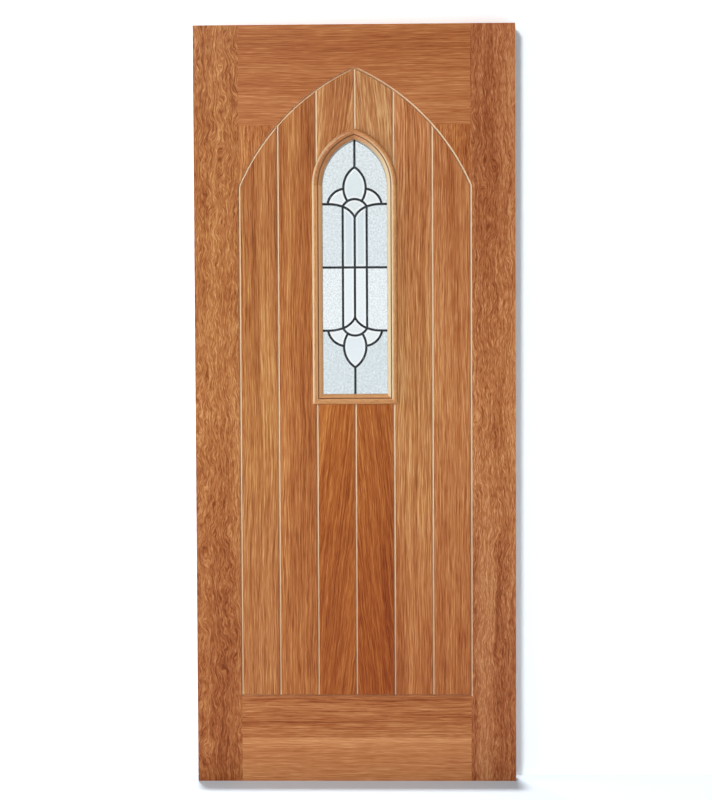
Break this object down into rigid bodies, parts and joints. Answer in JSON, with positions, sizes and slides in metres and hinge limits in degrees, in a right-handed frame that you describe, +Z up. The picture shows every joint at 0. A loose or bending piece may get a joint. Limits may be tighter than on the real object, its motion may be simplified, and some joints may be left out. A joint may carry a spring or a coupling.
{
  "type": "arched wooden door leaf",
  "caption": "Solid wood front door leaf with upright V-grooved boards under a pointed arch and a pointed window of leaded glass in a raised moulding.",
  "frame": {"origin": "middle of the leaf's bottom edge, halfway through its thickness", "axes": "+Z up the leaf, +X across it to the right as seen from outside, -Y out of the outside face"},
  "size_m": [0.838, 0.06, 1.981],
  "materials": {
    "frame_oak": "clear stained satin",
    "board_oak": "clear stained satin",
    "moulding_oak": "clear stained satin",
    "core_wood": "sawn",
    "pane_glass": "clear",
    "bevelled_glass": "clear, bevelled",
    "textured_glass": "finely textured",
    "spacer_bar": "mill",
    "sealant": "matte",
    "lead": "patinated lead",
    "pin_steel": "plain"
  },
  "bodies": {
    "root": {"back_bead_arch_left": "moulding_oak", "back_bead_arch_right": "moulding_oak", "back_bead_bottom": "moulding_oak", "back_bead_left": "moulding_oak", "back_bead_right": "moulding_oak", "back_board_1": "board_oak", "back_board_2": "board_oak", "back_board_3": "board_oak", "back_board_4": "board_oak", "back_board_5": "board_oak", "back_board_6": "board_oak", "bead_pins": "pin_steel", "bottom_rail_lower": "frame_oak", "bottom_rail_upper": "frame_oak", "came_lattice": "lead", "core_panel": "core_wood", "front_board_1": "board_oak", "front_board_2": "board_oak", "front_board_3": "board_oak", "front_board_4": "board_oak", "front_board_5": "board_oak", "front_board_6": "board_oak", "front_moulding_arch_left": "moulding_oak", "front_moulding_arch_right": "moulding_oak", "front_moulding_bottom": "moulding_oak", "front_moulding_left": "moulding_oak", "front_moulding_right": "moulding_oak", "glazing_tape_back": "sealant", "glazing_tape_front": "sealant", "inner_pane": "pane_glass", "left_spandrel": "frame_oak", "left_stile": "frame_oak", "lower_dome_glass": "bevelled_glass", "lower_drop_glass": "bevelled_glass", "lower_left_fan_glass": "bevelled_glass", "lower_left_ground_glass": "textured_glass", "lower_left_side_glass": "textured_glass", "lower_left_strip_glass": "bevelled_glass", "lower_right_fan_glass": "bevelled_glass", "lower_right_ground_glass": "textured_glass", "lower_right_side_glass": "textured_glass", "lower_right_strip_glass": "bevelled_glass", "outer_pane": "pane_glass", "right_spandrel": "frame_oak", "right_stile": "frame_oak", "setting_blocks": "sealant", "spacer_back": "spacer_bar", "spacer_front": "spacer_bar", "top_rail": "frame_oak", "unit_seal": "sealant", "upper_dome_glass": "bevelled_glass", "upper_drop_glass": "bevelled_glass", "upper_left_fan_glass": "bevelled_glass", "upper_left_ground_glass": "textured_glass", "upper_left_side_glass": "textured_glass", "upper_left_strip_glass": "bevelled_glass", "upper_right_fan_glass": "bevelled_glass", "upper_right_ground_glass": "textured_glass", "upper_right_side_glass": "textured_glass", "upper_right_strip_glass": "bevelled_glass"}
  },
  "joints": []
}
